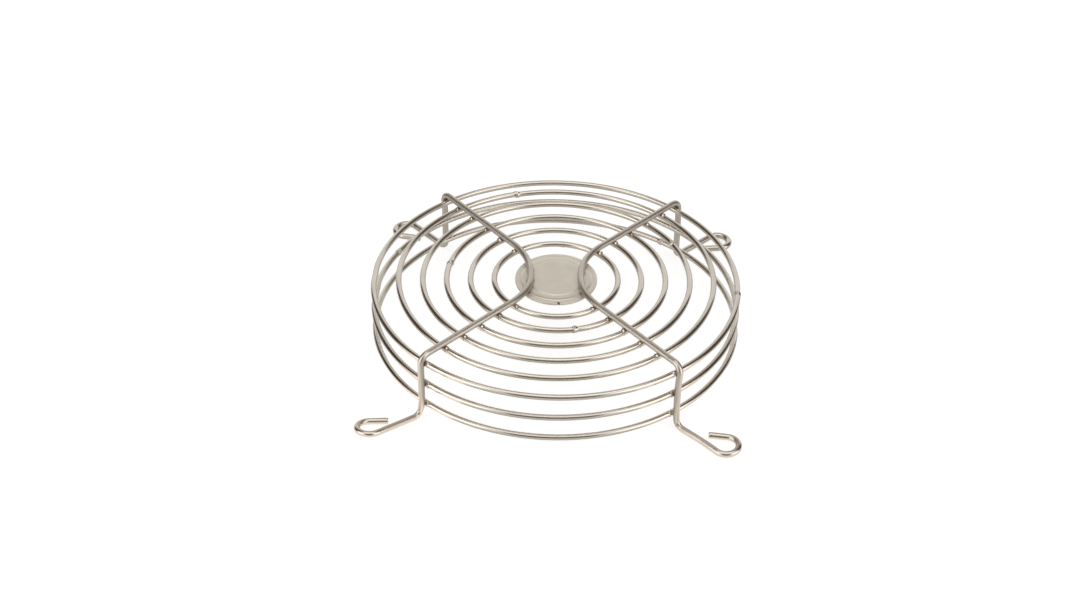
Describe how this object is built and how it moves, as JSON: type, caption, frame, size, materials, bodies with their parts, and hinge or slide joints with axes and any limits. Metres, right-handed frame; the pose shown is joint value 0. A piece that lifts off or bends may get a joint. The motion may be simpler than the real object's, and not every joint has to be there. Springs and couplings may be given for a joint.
{
  "type": "wire fan guard",
  "caption": "Basket-shaped wire guard for an axial fan: concentric rings welded to bent support wires that end in screw eyes, with a pressed disc at the hub.",
  "frame": {"origin": "centre of the mounting face that the feet stand on", "axes": "+Z away from the fan, +X through the middle of the right support wire, and the eyes on the diagonals"},
  "size_m": [0.1145, 0.1144, 0.024],
  "materials": {
    "support_wire": "bright nickel plate over steel wire, faint drawing lines",
    "ring_wire": "bright nickel plate over steel wire, heat tint at the welds",
    "hub_disc": "satin nickel plate over pressed steel sheet"
  },
  "bodies": {
    "root": {"left_support_wire": "support_wire", "right_support_wire": "support_wire", "grille_ring_1": "ring_wire", "grille_ring_2": "ring_wire", "grille_ring_3": "ring_wire", "grille_ring_4": "ring_wire", "grille_ring_5": "ring_wire", "rim_ring": "ring_wire", "upper_side_ring": "ring_wire", "lower_side_ring": "ring_wire", "hub_disc": "hub_disc"}
  },
  "joints": []
}
